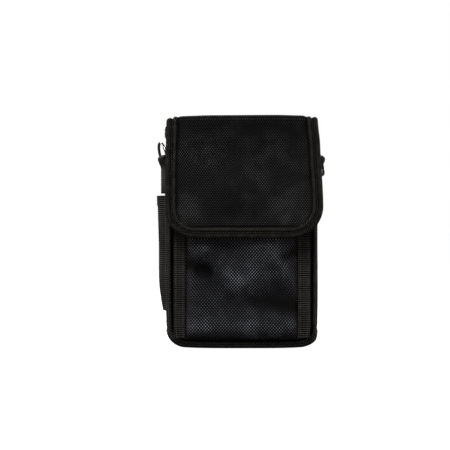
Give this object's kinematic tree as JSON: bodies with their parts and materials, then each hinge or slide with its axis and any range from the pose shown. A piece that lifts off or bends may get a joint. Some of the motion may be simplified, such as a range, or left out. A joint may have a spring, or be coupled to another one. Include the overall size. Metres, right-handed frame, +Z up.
{
  "type": "instrument carrying pouch",
  "caption": "Soft padded carrying pouch for a hand-held test instrument, with a fold-over lid, front pocket, elastic side pocket, strap rings and belt loop.",
  "frame": {"origin": "centre of the flat bottom that the pouch stands on", "axes": "+Z up to the lid, -Y out of the front that carries the lid and pocket, +X to the right as seen from the front"},
  "size_m": [0.1523, 0.078, 0.2076],
  "materials": {
    "ballistic_cloth": "coarse coated plain weave, matte with faint sheen",
    "pocket_cloth": "coarse plain weave, matte with faint sheen",
    "lining_cloth": "fine smooth weave",
    "foam": "closed-cell foam sheet, sealed inside the walls",
    "binding_tape": "twill tape, folded and stitched",
    "webbing": "ribbed webbing",
    "elastic": "ribbed woven elastic",
    "hook_tape": "hook tape",
    "loop_tape": "brushed loop tape",
    "nickel_wire": "nickel-plated steel wire"
  },
  "bodies": {
    "pouch": {"back_panel_foam": "foam", "back_panel_lining": "lining_cloth", "back_panel_outer": "ballistic_cloth", "back_seam_binding": "binding_tape", "belt_loop": "webbing", "bottom_gusset_foam": "foam", "bottom_gusset_lining": "lining_cloth", "bottom_gusset_outer": "ballistic_cloth", "elastic_pocket": "elastic", "front_panel_foam": "foam", "front_panel_lining": "lining_cloth", "front_panel_outer": "ballistic_cloth", "front_seam_binding": "binding_tape", "left_front_webbing": "webbing", "left_gusset_foam": "foam", "left_gusset_lining": "lining_cloth", "left_gusset_outer": "ballistic_cloth", "left_ring_webbing": "webbing", "mouth_binding": "binding_tape", "pocket_loop_fastener": "loop_tape", "pocket_mouth_binding": "binding_tape", "pocket_panel": "pocket_cloth", "right_front_webbing": "webbing", "right_gusset_foam": "foam", "right_gusset_lining": "lining_cloth", "right_gusset_outer": "ballistic_cloth", "right_ring_webbing": "webbing"},
    "flap_top": {"flap_top_foam": "foam", "flap_top_left_binding": "binding_tape", "flap_top_lining": "lining_cloth", "flap_top_outer": "ballistic_cloth", "flap_top_right_binding": "binding_tape"},
    "flap_front": {"flap_front_binding": "binding_tape", "flap_front_foam": "foam", "flap_front_lining": "lining_cloth", "flap_front_outer": "ballistic_cloth", "flap_hook_fastener": "hook_tape"},
    "left_d_ring": {"left_d_ring": "nickel_wire"},
    "right_d_ring": {"right_d_ring": "nickel_wire"}
  },
  "joints": [
    {"name": "flap_rear_fold", "type": "hinge", "parent": "pouch", "child": "flap_top", "pos_m": [0, 0.0249, 0.2049], "axis": [-1, 0, 0], "range_deg": [0, 115]},
    {"name": "flap_front_fold", "type": "hinge", "parent": "flap_top", "child": "flap_front", "pos_m": [0, -0.03636, 0.2049], "axis": [-1, 0, 0], "range_deg": [0, 100]},
    {"name": "left_ring_swing", "type": "hinge", "parent": "pouch", "child": "left_d_ring", "pos_m": [-0.06986, -0.01639, 0.1711], "axis": [0.3074, -0.9516, 0], "range_deg": [-15, 150]},
    {"name": "right_ring_swing", "type": "hinge", "parent": "pouch", "child": "right_d_ring", "pos_m": [0.06986, -0.01639, 0.1711], "axis": [-0.3074, -0.9516, 0], "range_deg": [0, 165]}
  ]
}
